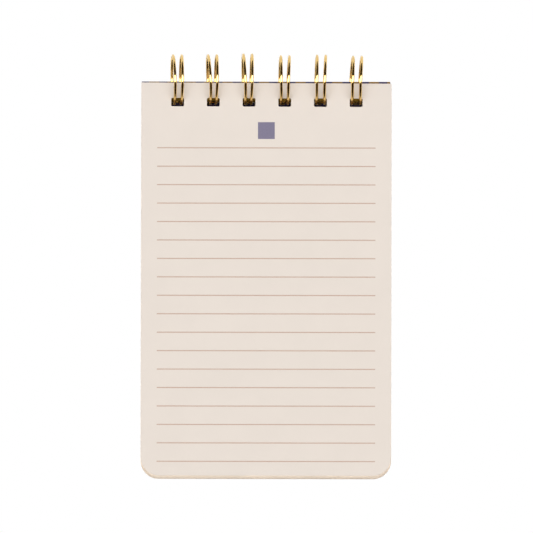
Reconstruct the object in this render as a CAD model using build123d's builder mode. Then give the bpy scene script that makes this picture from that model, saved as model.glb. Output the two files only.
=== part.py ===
"""A pocket notebook on a twin-loop wire binding, with its front cover folded round behind the pad. Millimetres.

X runs along the binding, +Y points from the pages to the binding, and +Z is up, out of the top page. The middle of
the rings is at (ring_y, ring_z). Heights and distances below that are called "from the ring's middle" start there.
"""

import os
from math import asin, atan, cos, degrees, radians, sin, sqrt

from build123d import *

# Binding
loop_count = 6
loop_pitch = 12.7  # the standard 2:1 punch: two holes to the inch
wire_d = 1.0
ring_r = 8.42  # middle of the wire
wire_spacing = 2.85  # between the two wires of one loop, middle to middle
bend_r = 0.9  # where a loop turns into the straight wire beside it
end_stub = 0.7  # straight wire left past the first and last loops
tip_angle = 195.8  # where the two wires of a loop start to join round the tip

# Sheets
sheet_count = 64
single_leaves = 8  # the top sheets, each a piece of its own
sheets_per_block = 8
sheet_w = 88.9
sheet_h = 139.7
sheet_t = 0.115
sheet_pitch = 0.12
sheet_corner_r = 6.35
sheet_hole_to_edge = 7.0
sheet_wire_offset = 0.77  # how far the wire sits from the hole's middle, towards the binding

# Holes, the same in the sheets and the covers
hole_w = 4.45
hole_h = 3.0
hole_corner_r = 0.45

# Covers: a board with printed paper on its outer face and plain paper on its inner face
cover_w = 88.5
cover_h = 139.9
cover_x = -0.15
board_t = 0.6
paper_t = 0.1
cover_corner_r = 6.35
cover_top_corner_r = 1.5
cover_hole_to_edge = 6.09
cover_wire_offset = 0.3

# Heights from the ring's middle
back_cover_top = -3.25
sheets_low = -3.235
front_cover_top = -5.2

cover_t = board_t + 2 * paper_t
loop_xs = [(i - (loop_count - 1) / 2) * loop_pitch for i in range(loop_count)]
sheets_top = sheets_low + (sheet_count - 1) * sheet_pitch + sheet_t


def wire_reach(z):
    """How far the wire is from the ring's middle along Y, at this height from it."""
    return sqrt(ring_r**2 - z**2)


# The middle sheets hang furthest from the binding, so they set the lowest Y.
lowest_y = -(ring_r + sheet_wire_offset - sheet_hole_to_edge + sheet_h)
highest_y = ring_r + wire_d / 2
ring_y = -(lowest_y + highest_y) / 2
ring_z = ring_r + wire_d / 2

# The straight wire runs halfway up the gap between the covers.
seam_z = (back_cover_top - cover_t + front_cover_top) / 2
seam_r = sqrt(ring_r**2 + bend_r**2)
seam_angle = 180 + degrees(asin(-seam_z / seam_r))
loop_start = seam_angle + degrees(atan(bend_r / ring_r))
loop_sweep = 360 - (loop_start - tip_angle)


def on_ring(x, angle):
    """The point of the ring at x, with the angle counted from +Y towards +Z."""
    return Vector(x, ring_y + ring_r * cos(radians(angle)), ring_z + ring_r * sin(radians(angle)))


def along_ring(angle):
    return Vector(0, -sin(radians(angle)), cos(radians(angle)))


def out_of_ring(angle):
    return Vector(0, cos(radians(angle)), sin(radians(angle)))


def turn_wire(start, heading, pivot, axis, sweep):
    """Adds a piece of round wire that leaves start along heading and turns about axis through pivot."""
    with BuildSketch(Plane(origin=start, x_dir=(1, 0, 0), z_dir=heading)) as section:
        Circle(wire_d / 2)
    revolve(section.sketch, axis=Axis(pivot, axis), revolution_arc=sweep)


def straight_wire(x_from, x_to):
    """Adds a straight piece of wire along the seam."""
    start = on_ring(x_from, loop_start) - along_ring(loop_start) * bend_r
    with BuildSketch(Plane(origin=start, x_dir=(0, 1, 0), z_dir=(1, 0, 0))) as section:
        Circle(wire_d / 2)
    extrude(section.sketch, amount=x_to - x_from)


def outline(y_top, width, height, x_middle, top_r, bottom_r, y_holes):
    """Sketches a sheet: a rectangle with rounded corners and a hole for every loop."""
    with Locations((x_middle, y_top - height / 2)):
        edge = Rectangle(width, height)
    corners = edge.vertices().group_by(Axis.Y)
    fillet(corners[0], bottom_r)
    if top_r:
        fillet(corners[-1], top_r)
    with Locations(*[(x, y_holes) for x in loop_xs]):
        RectangleRounded(hole_w, hole_h, hole_corner_r, mode=Mode.SUBTRACT)


def add_sheet(index):
    """Adds one sheet, counted from the bottom of the pad. Each hangs on the ring at its own height."""
    z_low = sheets_low + index * sheet_pitch
    y_holes = ring_y - wire_reach(z_low + sheet_t / 2) - sheet_wire_offset
    with BuildSketch(Plane.XY.offset(ring_z + z_low)) as section:
        outline(y_holes + sheet_hole_to_edge, sheet_w, sheet_h, 0, 0, sheet_corner_r, y_holes)
    extrude(section.sketch, amount=sheet_t)


def save(made, name):
    made.part.label = name
    export_step(made.part, f"parts/{name}.step")


os.makedirs("parts", exist_ok=True)

# The whole binding is one bent wire.
half = wire_spacing / 2
with BuildPart() as twin_loop_wire:
    for x in loop_xs:
        for wire_x in (x - half, x + half):
            turn_wire(
                on_ring(wire_x, loop_start),
                along_ring(loop_start),
                (wire_x, ring_y, ring_z),
                (1, 0, 0),
                loop_sweep,
            )
        turn_wire(
            on_ring(x - half, tip_angle),
            along_ring(tip_angle),
            on_ring(x, tip_angle),
            out_of_ring(tip_angle),
            180,
        )
        for side in (-1, 1):
            turn_wire(
                on_ring(x + side * half, loop_start),
                along_ring(loop_start),
                on_ring(x + side * (half + bend_r), loop_start),
                out_of_ring(loop_start) * -side,
                90,
            )
    seam_ends = half + bend_r
    straight_wire(loop_xs[0] - seam_ends - end_stub, loop_xs[0] - seam_ends)
    for x in loop_xs[:-1]:
        straight_wire(x + seam_ends, x + loop_pitch - seam_ends)
    straight_wire(loop_xs[-1] + seam_ends, loop_xs[-1] + seam_ends + end_stub)
save(twin_loop_wire, "twin_loop_wire")

# Each cover is three bonded layers, named from its inner face out. The front cover lies folded behind the back one,
# so both inner and outer faces point the way they do in a shut notebook: the front's print is up, the back's is down.
cover_layers = {
    "front_cover": (front_cover_top - cover_t, ["liner", "board", "print"]),
    "back_cover": (back_cover_top - cover_t, ["print", "board", "liner"]),
}
for cover, (low, layers) in cover_layers.items():
    y_holes = ring_y - wire_reach(low + cover_t / 2) - cover_wire_offset
    for layer in layers:
        thickness = board_t if layer == "board" else paper_t
        with BuildPart() as made:
            with BuildSketch(Plane.XY.offset(ring_z + low)):
                outline(
                    y_holes + cover_hole_to_edge,
                    cover_w,
                    cover_h,
                    cover_x,
                    cover_top_corner_r,
                    cover_corner_r,
                    y_holes,
                )
            extrude(amount=thickness)
        save(made, f"{cover}_{layer}")
        low += thickness

# The top sheets turn one by one, and the rest in blocks of loose sheets.
for leaf in range(single_leaves):
    with BuildPart() as made:
        add_sheet(sheet_count - 1 - leaf)
    save(made, f"leaf_{leaf + 1:02}")

block_sheets = sheet_count - single_leaves
for block in range(block_sheets // sheets_per_block):
    first = block_sheets - (block + 1) * sheets_per_block
    with BuildPart() as made:
        for index in range(first, first + sheets_per_block):
            add_sheet(index)
    save(made, f"page_block_{block + 1}")
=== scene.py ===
"""The looks of a pocket notebook on a twin-loop wire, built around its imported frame.

Lengths are in metres, unless a name ends in _mm. +X runs along the binding, +Y points from the pages to the
binding, and +Z is up, out of the top page.
"""

import math
import random

import bpy
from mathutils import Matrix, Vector
from mathutils.geometry import delaunay_2d_cdt


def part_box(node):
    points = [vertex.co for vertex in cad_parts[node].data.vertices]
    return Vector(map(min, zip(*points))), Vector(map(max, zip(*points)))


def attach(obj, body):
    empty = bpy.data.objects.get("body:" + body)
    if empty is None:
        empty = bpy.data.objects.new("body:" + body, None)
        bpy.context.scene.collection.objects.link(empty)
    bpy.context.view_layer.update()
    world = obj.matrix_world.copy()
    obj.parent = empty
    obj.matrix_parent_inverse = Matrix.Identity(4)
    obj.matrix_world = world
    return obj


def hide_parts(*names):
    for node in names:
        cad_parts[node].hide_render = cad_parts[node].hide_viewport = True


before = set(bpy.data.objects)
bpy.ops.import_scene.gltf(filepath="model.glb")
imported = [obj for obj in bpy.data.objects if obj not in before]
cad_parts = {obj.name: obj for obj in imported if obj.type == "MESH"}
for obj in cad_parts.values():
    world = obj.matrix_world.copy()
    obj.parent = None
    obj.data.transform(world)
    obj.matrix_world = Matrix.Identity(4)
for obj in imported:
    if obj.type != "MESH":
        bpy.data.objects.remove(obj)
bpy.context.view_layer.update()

MM = 0.001

# ---------------------------------------------------------------------------
# Sizes, in millimetres, the same as the CAD model's where it has them
# ---------------------------------------------------------------------------

loop_count = 6
loop_pitch_mm = 12.7
wire_d_mm = 1.0
wire_spacing_mm = 2.85
bend_r_mm = 0.9
end_stub_mm = 0.7
tip_angle = 195.8
wire_sides = 20
# Steps along the wire: in each bend beside the seam, round each ring, and in each half of a loop's tip.
bend_steps = 8
ring_steps = 96
tip_steps = 16

sheet_w_mm = 88.9
sheet_h_mm = 139.7
sheet_t_mm = 0.115
sheet_pitch_mm = 0.12
sheets_per_block = 8
corner_r_mm = 6.35
hole_w_mm = 4.45
hole_h_mm = 3.0
hole_corner_r_mm = 0.45
hole_to_edge_mm = 7.0
sheet_wire_offset_mm = 0.77
# The pad is trimmed and punched a little out of true: how far its top edge is off at its left and right
# corners, how far its holes are off along the binding, how much wider they are, and how their row turns, in
# radians.
top_left_off_mm = 0.05
top_right_off_mm = -0.25
punch_off_mm = 0.17
punch_wider_mm = 0.12
punch_turn = 0.0026
painted_border_mm = 0.25  # how wide the painted borders are round a lower sheet's edge and holes: painted light round its edge, painted shade round its holes
# How far loose sheets are moved at most. The first sheet isn't moved.
leaf_loose_mm = 0.05
block_loose_mm = 0.07

rule_count = 18
rule_first_mm = 23.17  # from the sheet's top edge
rule_pitch_mm = 6.56
rule_half_length_mm = 38.85
rule_t_mm = 0.35

# A plain square of one ink at the top of the page.
mark_from_edge_mm = 17.0
mark_side_mm = 6.0

# No two loops are bent quite alike. For each one: how far it leans along the binding at its top, how far its
# near and far sides are pushed along the binding, how far it reaches past a true ring, and how much of the
# wires' spacing is left in the sheets' holes.
loop_bends = [
    (0.53, 0.12, 0.0, 0.27, 0.87),
    (0.46, -0.02, -0.22, 0.34, 0.69),
    (0.34, -0.24, -0.35, 0.62, 0.73),
    (0.20, 0.01, 0.26, 0.04, 0.86),
    (0.12, 0.14, 0.48, 0.28, 0.98),
    (0.26, 0.05, 0.60, -0.09, 1.03),
]
far_spread = 1.08  # the wires' spacing at the loops' far side, over the true one
top_pinch = 0.055  # how much less of it there is at the loops' top, and how much more below
far_from = -0.15  # where the push of the far side starts, over the ring's radius, along Y

loop_xs_mm = [(i - (loop_count - 1) / 2) * loop_pitch_mm for i in range(loop_count)]

# ---------------------------------------------------------------------------
# Places read from the frame
# ---------------------------------------------------------------------------

wire_low, wire_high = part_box("twin_loop_wire")
ring_out_mm = (wire_high.z - wire_low.z) / MM / 2
ring_r_mm = ring_out_mm - wire_d_mm / 2
ring_middle = Vector((0, wire_high.y - ring_out_mm * MM, (wire_low.z + wire_high.z) / 2))

back_cover_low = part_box("back_cover_print")[0].z
front_cover_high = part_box("front_cover_print")[1].z
seam_z_mm = ((back_cover_low + front_cover_high) / 2 - ring_middle.z) / MM
seam_r_mm = math.hypot(ring_r_mm, bend_r_mm)
loop_start = 180 + math.degrees(math.asin(-seam_z_mm / seam_r_mm) + math.atan(bend_r_mm / ring_r_mm))


# ---------------------------------------------------------------------------
# Materials
# ---------------------------------------------------------------------------


def new_material(name, colour, roughness, metallic=0.0):
    made = bpy.data.materials.new(name)
    made.use_nodes = True
    shader = made.node_tree.nodes["Principled BSDF"]
    shader.inputs["Base Color"].default_value = (*colour, 1)
    shader.inputs["Roughness"].default_value = roughness
    shader.inputs["Metallic"].default_value = metallic
    return made, made.node_tree, shader


def noise(tree, scale, detail=4.0, stretch=(1, 1, 1)):
    """Noise in the object's own space, where scale is in features a metre."""
    place = tree.nodes.new("ShaderNodeTexCoord")
    mapping = tree.nodes.new("ShaderNodeMapping")
    mapping.inputs["Scale"].default_value = stretch
    texture = tree.nodes.new("ShaderNodeTexNoise")
    texture.inputs["Scale"].default_value = scale
    texture.inputs["Detail"].default_value = detail
    tree.links.new(place.outputs["Object"], mapping.inputs["Vector"])
    tree.links.new(mapping.outputs["Vector"], texture.inputs["Vector"])
    return texture.outputs["Fac"]


def ramp(tree, value, stops):
    """Turns a value into a colour, by (position, colour) stops."""
    made = tree.nodes.new("ShaderNodeValToRGB")
    elements = made.color_ramp.elements
    while len(elements) < len(stops):
        elements.new(0.5)
    for element, (position, colour) in zip(elements, stops):
        element.position = position
        element.color = (*colour, 1)
    tree.links.new(value, made.inputs["Fac"])
    return made.outputs["Color"]


def add_bump(tree, shader, height, distance, strength):
    bump = tree.nodes.new("ShaderNodeBump")
    bump.inputs["Distance"].default_value = distance
    bump.inputs["Strength"].default_value = strength
    tree.links.new(height, bump.inputs["Height"])
    tree.links.new(bump.outputs["Normal"], shader.inputs["Normal"])


def shade(colour, by):
    return tuple(c * by for c in colour)


def fibre_paper(name, colour, roughness=0.85, spread=0.03, bump=0.15, gloss=0.5):
    """Uncoated paper: faint clouds in its colour and a fine tooth."""
    made, tree, shader = new_material(name, colour, roughness)
    shader.inputs["Specular IOR Level"].default_value = gloss
    clouds = noise(tree, 90, 3.0)
    dark, light = shade(colour, 1 - spread), shade(colour, 1 + spread / 2)
    mottle = ramp(tree, clouds, [(0.3, dark), (0.7, light)])
    tree.links.new(mottle, shader.inputs["Base Color"])
    add_bump(tree, shader, noise(tree, 5000, 5.0), 0.00003, bump)
    return made


def printed_ink(name, colour):
    """Ink on the page, a little uneven where the paper's tooth shows through."""
    spread = 0.12
    made, tree, shader = new_material(name, colour, 0.7)
    grain = noise(tree, 6000, 2.0)
    uneven = ramp(tree, grain, [(0.35, shade(colour, 1 - spread)), (0.65, shade(colour, 1 + spread))])
    tree.links.new(uneven, shader.inputs["Base Color"])
    return made


def plated_wire():
    """Bright gold-coloured plating, with faint marks along the wire."""
    gold = (0.86, 0.60, 0.22)
    made, tree, shader = new_material("plated_wire", gold, 0.1, 1.0)
    patches = noise(tree, 500, 3.0)
    tone = ramp(tree, patches, [(0.3, shade(gold, 0.93)), (0.7, shade(gold, 1.05))])
    tree.links.new(tone, shader.inputs["Base Color"])
    scuffs = ramp(tree, noise(tree, 1500, 6.0), [(0.4, (0.07,) * 3), (0.75, (0.15,) * 3)])
    tree.links.new(scuffs, shader.inputs["Roughness"])
    return made


def cover_print():
    """Violet paper with rows of gold dots and a slight sheen."""
    violet = (0.035, 0.018, 0.085)
    gold = (0.24, 0.13, 0.025)
    dot_pitch = 0.00652
    dot_shift = 0.00085
    dot_radius, dot_edge = 0.27, 0.29  # over the pitch
    made, tree, shader = new_material("cover_print", violet, 0.38)
    place = tree.nodes.new("ShaderNodeTexCoord")
    mapping = tree.nodes.new("ShaderNodeMapping")
    dots = tree.nodes.new("ShaderNodeTexVoronoi")
    dots.voronoi_dimensions = "2D"
    dots.inputs["Scale"].default_value = 1 / dot_pitch
    dots.inputs["Randomness"].default_value = 0.0
    top_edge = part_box("front_cover_print")[1].y
    mapping.inputs["Location"].default_value = (dot_shift, -top_edge, 0)
    tree.links.new(place.outputs["Object"], mapping.inputs["Vector"])
    tree.links.new(mapping.outputs["Vector"], dots.inputs["Vector"])
    pattern = ramp(tree, dots.outputs["Distance"], [(dot_radius, gold), (dot_edge, violet)])
    tree.links.new(pattern, shader.inputs["Base Color"])
    shader.inputs["Specular IOR Level"].default_value = 0.1
    add_bump(tree, shader, noise(tree, 2500, 3.0), 0.00002, 0.15)
    return made


def grey_board():
    """Recycled board, seen at the covers' cut edges."""
    tone = (0.34, 0.27, 0.19)
    made, tree, shader = new_material("grey_board", tone, 0.95)
    fibres = noise(tree, 1800, 5.0, stretch=(1, 1, 4))
    mixed = ramp(tree, fibres, [(0.3, shade(tone, 0.7)), (0.7, shade(tone, 1.25))])
    tree.links.new(mixed, shader.inputs["Base Color"])
    add_bump(tree, shader, fibres, 0.00006, 0.5)
    return made


page_colour = (0.786, 0.715, 0.652)
materials = {
    "page_paper": fibre_paper("page_paper", page_colour, spread=0.014),
    # Painted light: the sheets' cut edges and the borders of the lower sheets get a copy of the paper that
    # is lighter and more tan than the page, to make up for the shade they lie in.
    "page_edge_painted_light": fibre_paper("page_edge_painted_light", (0.95, 0.83, 0.70), spread=0.05, bump=0.3),
    # Painted shade: a dark brown ring round the holes of every sheet but the first, where the wires and the
    # stack shade the holes.
    "hole_painted_shade": fibre_paper("hole_painted_shade", (0.21, 0.125, 0.015), spread=0.2, bump=0.3, gloss=0.1),
    "rule_ink": printed_ink("rule_ink", (0.54, 0.375, 0.30)),
    "mark_ink": printed_ink("mark_ink", (0.20, 0.18, 0.27)),
}
sheet_slots = list(materials)
materials["cover_print"] = cover_print()
materials["cover_liner"] = fibre_paper("cover_liner", (0.76, 0.70, 0.62), roughness=0.8)
materials["grey_board"] = grey_board()
materials["plated_wire"] = plated_wire()


def new_object(name, vertices, faces, slots, face_slots=None, smooth=False):
    mesh = bpy.data.meshes.new(name)
    mesh.from_pydata(vertices, [], faces)
    for slot in slots:
        mesh.materials.append(materials[slot])
    if face_slots:
        mesh.polygons.foreach_set("material_index", face_slots)
    mesh.polygons.foreach_set("use_smooth", [smooth] * len(faces))
    mesh.update()
    made = bpy.data.objects.new(name, mesh)
    bpy.context.collection.objects.link(made)
    return made


# ---------------------------------------------------------------------------
# The twin-loop wire
# ---------------------------------------------------------------------------


def on_ring(angle):
    """A point of a true ring, in millimetres from its middle. The angle is counted from +Y towards +Z."""
    turn = math.radians(angle)
    return Vector((0, ring_r_mm * math.cos(turn), ring_r_mm * math.sin(turn)))


def along_ring(angle):
    turn = math.radians(angle)
    return Vector((0, -math.sin(turn), math.cos(turn)))


def bent(point, bend):
    """A point of a loop at x = 0, after the loop is pushed out of shape by its own bend."""
    lean, near, far, reach, pinch = bend
    across, up = point.y / ring_r_mm, point.z / ring_r_mm
    far_share = max(0.0, min(1.0, (across - far_from) / (1 - far_from)))
    moved = point.copy()
    moved.x *= pinch + (far_spread - pinch) * (1 + across) / 2 - top_pinch * up
    moved.x += near + (far - near) * far_share + lean * up
    moved.y += reach * max(0.0, across) ** 2
    return moved


def loop_path():
    """A loop at x = 0, from the seam on its left round to the seam on its right, in millimetres."""
    half = wire_spacing_mm / 2
    start = on_ring(loop_start)
    forward = along_ring(loop_start)
    across = Vector((1, 0, 0))
    points = []
    for step in range(bend_steps + 1):
        turn = math.radians(step * 90 / bend_steps)
        aside = -half - bend_r_mm + bend_r_mm * math.sin(turn)
        points.append(start + across * aside - forward * bend_r_mm * math.cos(turn))
    sweep = 360 - (loop_start - tip_angle)
    for step in range(1, ring_steps + 1):
        points.append(on_ring(loop_start + sweep * step / ring_steps) - across * half)
    tip, tip_forward = on_ring(tip_angle), along_ring(tip_angle)
    for step in range(1, tip_steps + 1):
        turn = math.radians(step * 90 / tip_steps)
        points.append(tip - across * half * math.cos(turn) + tip_forward * half * math.sin(turn))
    mirrored = [Vector((-p.x, p.y, p.z)) for p in reversed(points[:-1])]
    return points + mirrored


def wire_route():
    """The whole binding as one line of points."""
    route = []
    for x_mm, bend in zip(loop_xs_mm, loop_bends):
        route += [bent(p, bend) + Vector((x_mm, 0, 0)) for p in loop_path()]
    stub = Vector((end_stub_mm, 0, 0))
    return [route[0] - stub, *route, route[-1] + stub]


def tube(name, route, radius, sides, slot):
    """A round wire along a line of points, with its two cut ends a little rounded off."""
    count = len(route)
    ahead = [(route[min(i + 1, count - 1)] - route[max(i - 1, 0)]).normalized() for i in range(count)]
    end_scale, end_length = 0.8, 0.15 * radius
    rings = [(0, 0.0, end_scale), (0, end_length, 1.0)]
    rings += [(i, 0.0, 1.0) for i in range(1, count - 1)]
    rings += [(count - 1, -end_length, 1.0), (count - 1, 0.0, end_scale)]
    side = ahead[0].orthogonal().normalized()
    vertices, faces = [], []
    for index, shift, scale in rings:
        heading = ahead[index]
        side = (side - heading * side.dot(heading)).normalized()
        up = heading.cross(side)
        middle = route[index] + heading * shift
        for corner in range(sides):
            turn = 2 * math.pi * corner / sides
            out = side * math.cos(turn) + up * math.sin(turn)
            vertices.append(middle + out * radius * scale)
    for ring in range(len(rings) - 1):
        for corner in range(sides):
            following = (corner + 1) % sides
            here, there = ring * sides, (ring + 1) * sides
            faces.append((here + corner, here + following, there + following, there + corner))
    faces.append(tuple(reversed(range(sides))))
    faces.append(tuple(range((len(rings) - 1) * sides, len(rings) * sides)))
    return new_object(name, vertices, faces, [slot], smooth=True)


def make_wire():
    route = [ring_middle + p * MM for p in wire_route()]
    wire = tube("gold_twin_loop_wire", route, wire_d_mm * MM / 2, wire_sides, "plated_wire")
    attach(wire, "wire_binding")
    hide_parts("twin_loop_wire")


# ---------------------------------------------------------------------------
# The ruled sheets
# ---------------------------------------------------------------------------


def arc(x, y, radius, start, end, steps):
    turns = [math.radians(start + (end - start) * i / steps) for i in range(steps + 1)]
    return [(x + radius * math.cos(t), y + radius * math.sin(t)) for t in turns]


def rounded_box(x, y, width, height, radius, steps):
    """A closed outline, anticlockwise."""
    across, up = width / 2 - radius, height / 2 - radius
    corners = [(1, 1, 0), (-1, 1, 90), (-1, -1, 180), (1, -1, 270)]
    points = []
    for right, top, start in corners:
        points += arc(x + right * across, y + top * up, radius, start, start + 90, steps)
    return points


def box_outline(x, y, width, height):
    w, h = width / 2, height / 2
    return [(x - w, y - h), (x + w, y - h), (x + w, y + h), (x - w, y + h)]


def sheet_outline(inset_mm):
    """A sheet's edge, anticlockwise from its top left corner: square top corners and round bottom ones."""
    w, r, low = sheet_w_mm / 2 - inset_mm, corner_r_mm - inset_mm, inset_mm - sheet_h_mm
    left = arc(-w + r, low + r, r, 180, 270, 12)
    right = arc(w - r, low + r, r, 270, 360, 12)
    return [(-w, top_left_off_mm - inset_mm), *left, *right, (w, top_right_off_mm - inset_mm)]


def holds(outline, x, y):
    """Whether a point is inside a convex, anticlockwise outline."""
    following = outline[1:] + outline[:1]
    return all(
        (bx - ax) * (y - ay) - (by - ay) * (x - ax) >= 0 for (ax, ay), (bx, by) in zip(outline, following)
    )


def hole_outline(x, grow_mm):
    size = (hole_w_mm + punch_wider_mm + 2 * grow_mm, hole_h_mm + 2 * grow_mm)
    y = -hole_to_edge_mm - x * punch_turn
    return rounded_box(x + punch_off_mm, y, *size, hole_corner_r_mm + grow_mm, 4)


def sheet_plan(ruled, rim_mm):
    """A sheet seen from above: its points in millimetres, its triangles with their inks, and its border."""
    outline = sheet_outline(0)
    holes = [hole_outline(x, 0) for x in loop_xs_mm]
    inked, ground = [], "page_paper"
    # A lower sheet gets painted borders: painted shade round its holes, and painted light round its edge,
    # where the ground is the lightened copy of the paper and only the middle is plain paper.
    if rim_mm:
        inked = [("hole_painted_shade", hole_outline(x, rim_mm)) for x in loop_xs_mm]
        ground = "page_edge_painted_light"
    if ruled:
        inked.append(("mark_ink", box_outline(0, -mark_from_edge_mm, mark_side_mm, mark_side_mm)))
        for index in range(rule_count):
            y = -rule_first_mm - index * rule_pitch_mm
            inked.append(("rule_ink", box_outline(0, y, 2 * rule_half_length_mm, rule_t_mm)))
    if rim_mm:
        inked.append(("page_paper", sheet_outline(rim_mm)))
    points, edges = [], []
    for loop in [outline, *holes, *(shape for _, shape in inked)]:
        first = len(points)
        points += [Vector(p) for p in loop]
        edges += [(first + i, first + (i + 1) % len(loop)) for i in range(len(loop))]
    points, _, faces, *_ = delaunay_2d_cdt(points, edges, [], 0, 1e-5)
    triangles, sides = [], []
    for face in faces:
        middle = sum((points[i] for i in face), Vector((0, 0))) / len(face)
        if not holds(outline, *middle) or any(holds(hole, *middle) for hole in holes):
            continue
        a, b, c = (points[i] for i in face)
        if (b - a).cross(c - a) < 0:
            face = face[::-1]
        ink = next((name for name, shape in inked if holds(shape, *middle)), ground)
        triangles.append((tuple(face), ink))
        sides += zip(face, (*face[1:], face[0]))
    known = set(sides)
    border = [(start, end) for start, end in sides if (end, start) not in known]
    return points, triangles, border


plans = {
    "first": sheet_plan(True, 0.0),
    "ruled": sheet_plan(True, painted_border_mm),
    "plain": sheet_plan(False, painted_border_mm),
}
paper_slot, painted_edge_slot = (sheet_slots.index(n) for n in ("page_paper", "page_edge_painted_light"))
chance = random.Random(11)


def add_sheet(mesh_parts, z_low, plan, loose_mm):
    """Adds one sheet at this height, hanging from the rings and moved by up to loose_mm."""
    vertices, faces, slots = mesh_parts
    points, triangles, border = plans[plan]
    height_mm = (z_low - ring_middle.z) / MM + sheet_t_mm / 2
    reach_mm = math.sqrt(ring_r_mm**2 - height_mm**2) + sheet_wire_offset_mm
    x_mm = chance.uniform(-loose_mm, loose_mm)
    y_mm = hole_to_edge_mm - reach_mm + chance.uniform(-loose_mm, loose_mm)
    turn = chance.uniform(-loose_mm, loose_mm) / sheet_h_mm
    count, first = len(points), len(vertices)
    for z in (z_low, z_low + sheet_t_mm * MM):
        for x, y in points:
            x_turned, y_turned = x - y * turn, y + x * turn
            along, up_page = (x_turned + x_mm) * MM, (y_turned + y_mm) * MM
            vertices.append((ring_middle.x + along, ring_middle.y + up_page, z))
    for face, ink in triangles:
        faces.append(tuple(first + count + i for i in face))
        slots.append(sheet_slots.index(ink))
        faces.append(tuple(first + i for i in reversed(face)))
        slots.append(paper_slot if ink == "mark_ink" else sheet_slots.index(ink))
    # The cut edges are painted light, with the lightened copy of the paper.
    for start, end in border:
        faces.append((first + start, first + end, first + count + end, first + count + start))
        slots.append(painted_edge_slot)


def make_sheets(node, count, loose_mm):
    """The sheets of one CAD node. Only its top and bottom sheets are ruled: those between never show."""
    mesh_parts = ([], [], [])
    z_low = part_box(node)[0].z
    for index in range(count):
        plan = "ruled" if index in (0, count - 1) else "plain"
        if node == "leaf_01":
            plan = "first"
        add_sheet(mesh_parts, z_low + index * sheet_pitch_mm * MM, plan, loose_mm)
    vertices, faces, slots = mesh_parts
    sheets = new_object(f"{node}_paper", vertices, faces, sheet_slots, slots)
    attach(sheets, node)
    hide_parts(node)


def make_pages():
    for node in sorted(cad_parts):
        if node.startswith("leaf"):
            make_sheets(node, 1, 0.0 if node == "leaf_01" else leaf_loose_mm)
        if node.startswith("page_block"):
            make_sheets(node, sheets_per_block, block_loose_mm)


# ---------------------------------------------------------------------------
# The covers keep their CAD shapes
# ---------------------------------------------------------------------------


def paint_covers():
    layers = {"board": "grey_board", "print": "cover_print", "liner": "cover_liner"}
    for cover in ("front_cover", "back_cover"):
        for layer, material in layers.items():
            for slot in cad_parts[f"{cover}_{layer}"].material_slots:
                slot.material = materials[material]


# ---------------------------------------------------------------------------
# Floor, lights and camera
# ---------------------------------------------------------------------------


def seen_or_lit(tree, seen, lit, out_type):
    """Shows the camera one shader, and everything else another."""
    path = tree.nodes.new("ShaderNodeLightPath")
    mix = tree.nodes.new("ShaderNodeMixShader")
    found = [n for n in tree.nodes if n.bl_idname == out_type]
    out = found[0] if found else tree.nodes.new(out_type)
    tree.links.new(path.outputs["Is Camera Ray"], mix.inputs["Fac"])
    tree.links.new(lit, mix.inputs[1])
    tree.links.new(seen, mix.inputs[2])
    tree.links.new(mix.outputs["Shader"], out.inputs["Surface"])


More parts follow.
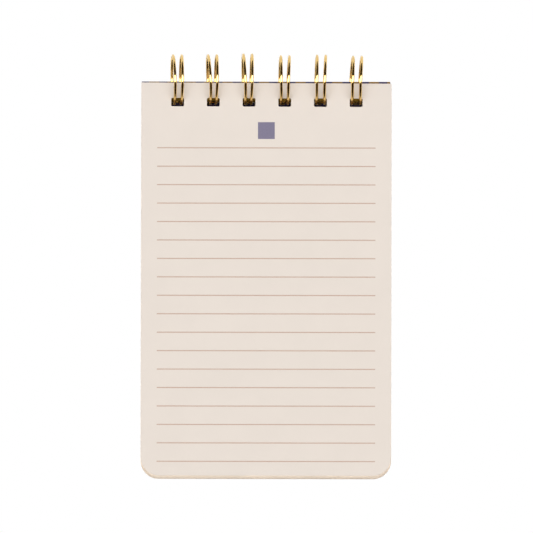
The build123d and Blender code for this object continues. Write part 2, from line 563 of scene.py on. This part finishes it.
def make_floor():
    """A white floor, with a grey patch that the notebook covers: painted shade, a darker floor where the
    notebook shades it, lit as it is and not white for the camera.

    The notebook lies on its rings and on the far edge of the folded cover, so the floor slopes a little.
    """
    far_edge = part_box("front_cover_liner")[0]
    slope = (far_edge.z - wire_low.z) / (far_edge.y - ring_middle.y)
    under_notebook = (0.04, 0.065)
    whole = (30.0, 30.0)
    gap = 0.00005
    vertices = []
    for across, along in (under_notebook, whole):
        for x, y in ((-across, -along), (across, -along), (across, along), (-across, along)):
            vertices.append((x, y, wire_low.z + (y - ring_middle.y) * slope - gap))
    faces = [(0, 1, 2, 3)] + [(4 + i, 4 + (i + 1) % 4, (i + 1) % 4, i) for i in range(4)]
    # Painted shade: the patch under the notebook is grey, darker than the floor, and has no white for the
    # camera.
    materials["floor_shade_patch"] = new_material("floor_shade_patch", (0.5, 0.5, 0.5), 0.9)[0]
    materials["floor"], tree, shader = new_material("floor", (0.9, 0.9, 0.9), 0.9)
    cut_out = tree.nodes.new("ShaderNodeEmission")
    cut_out.inputs["Color"].default_value = (1, 1, 1, 1)
    white, lit = cut_out.outputs["Emission"], shader.outputs["BSDF"]
    seen_or_lit(tree, white, lit, "ShaderNodeOutputMaterial")
    new_object("floor", vertices, faces, ["floor_shade_patch", "floor"], [0, 1, 1, 1, 1])


def area_light(name, place, size, strength):
    """A soft box that faces the notebook."""
    data = bpy.data.lights.new(name, "AREA")
    data.shape = "RECTANGLE"
    data.size, data.size_y = size
    data.energy = strength
    made = bpy.data.objects.new(name, data)
    made.location = place
    made.rotation_euler = (-Vector(place)).to_track_quat("-Z", "Y").to_euler()
    bpy.context.collection.objects.link(made)


def make_lights():
    """A long strip overhead and a soft box low on each side. The front, which the wires mirror, is dark."""
    area_light("overhead_strip", (0, 0.63, 4.45), (10.0, 2.4), 333)
    area_light("left_box", (-6.2, 0, 1.0), (1.6, 7.0), 85)
    area_light("right_box", (6.2, 0, 1.0), (1.6, 7.0), 40)


def make_world():
    """A dim studio for the reflections, and a white backdrop for the camera."""
    world = bpy.data.worlds.new("studio")
    bpy.context.scene.world = world
    world.use_nodes = True
    tree = world.node_tree
    tree.nodes.clear()
    seen = tree.nodes.new("ShaderNodeBackground")
    seen.inputs["Color"].default_value = (1, 1, 1, 1)
    lit = tree.nodes.new("ShaderNodeBackground")
    lit.inputs["Color"].default_value = (1.0, 0.68, 0.3, 1)
    lit.inputs["Strength"].default_value = 0.03
    white, studio = seen.outputs["Background"], lit.outputs["Background"]
    seen_or_lit(tree, white, studio, "ShaderNodeOutputWorld")


def make_camera():
    """Straight above, from far enough away that the view is almost without perspective."""
    view_width = 0.18957
    middle_x, middle_y = 0.00013, 0.00018
    roll = math.radians(0.1)
    data = bpy.data.cameras.new("camera")
    data.lens = 1500
    data.sensor_width = 36
    data.clip_end = 100
    page_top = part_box("leaf_01")[1].z
    distance = view_width * data.lens / data.sensor_width
    camera = bpy.data.objects.new("camera", data)
    camera.location = (middle_x, middle_y, page_top + distance)
    camera.rotation_euler = (0, 0, roll)
    bpy.context.collection.objects.link(camera)
    bpy.context.scene.camera = camera


make_wire()
make_pages()
paint_covers()
make_floor()
make_lights()
make_world()
make_camera()
bpy.context.scene.view_settings.view_transform = "Standard"
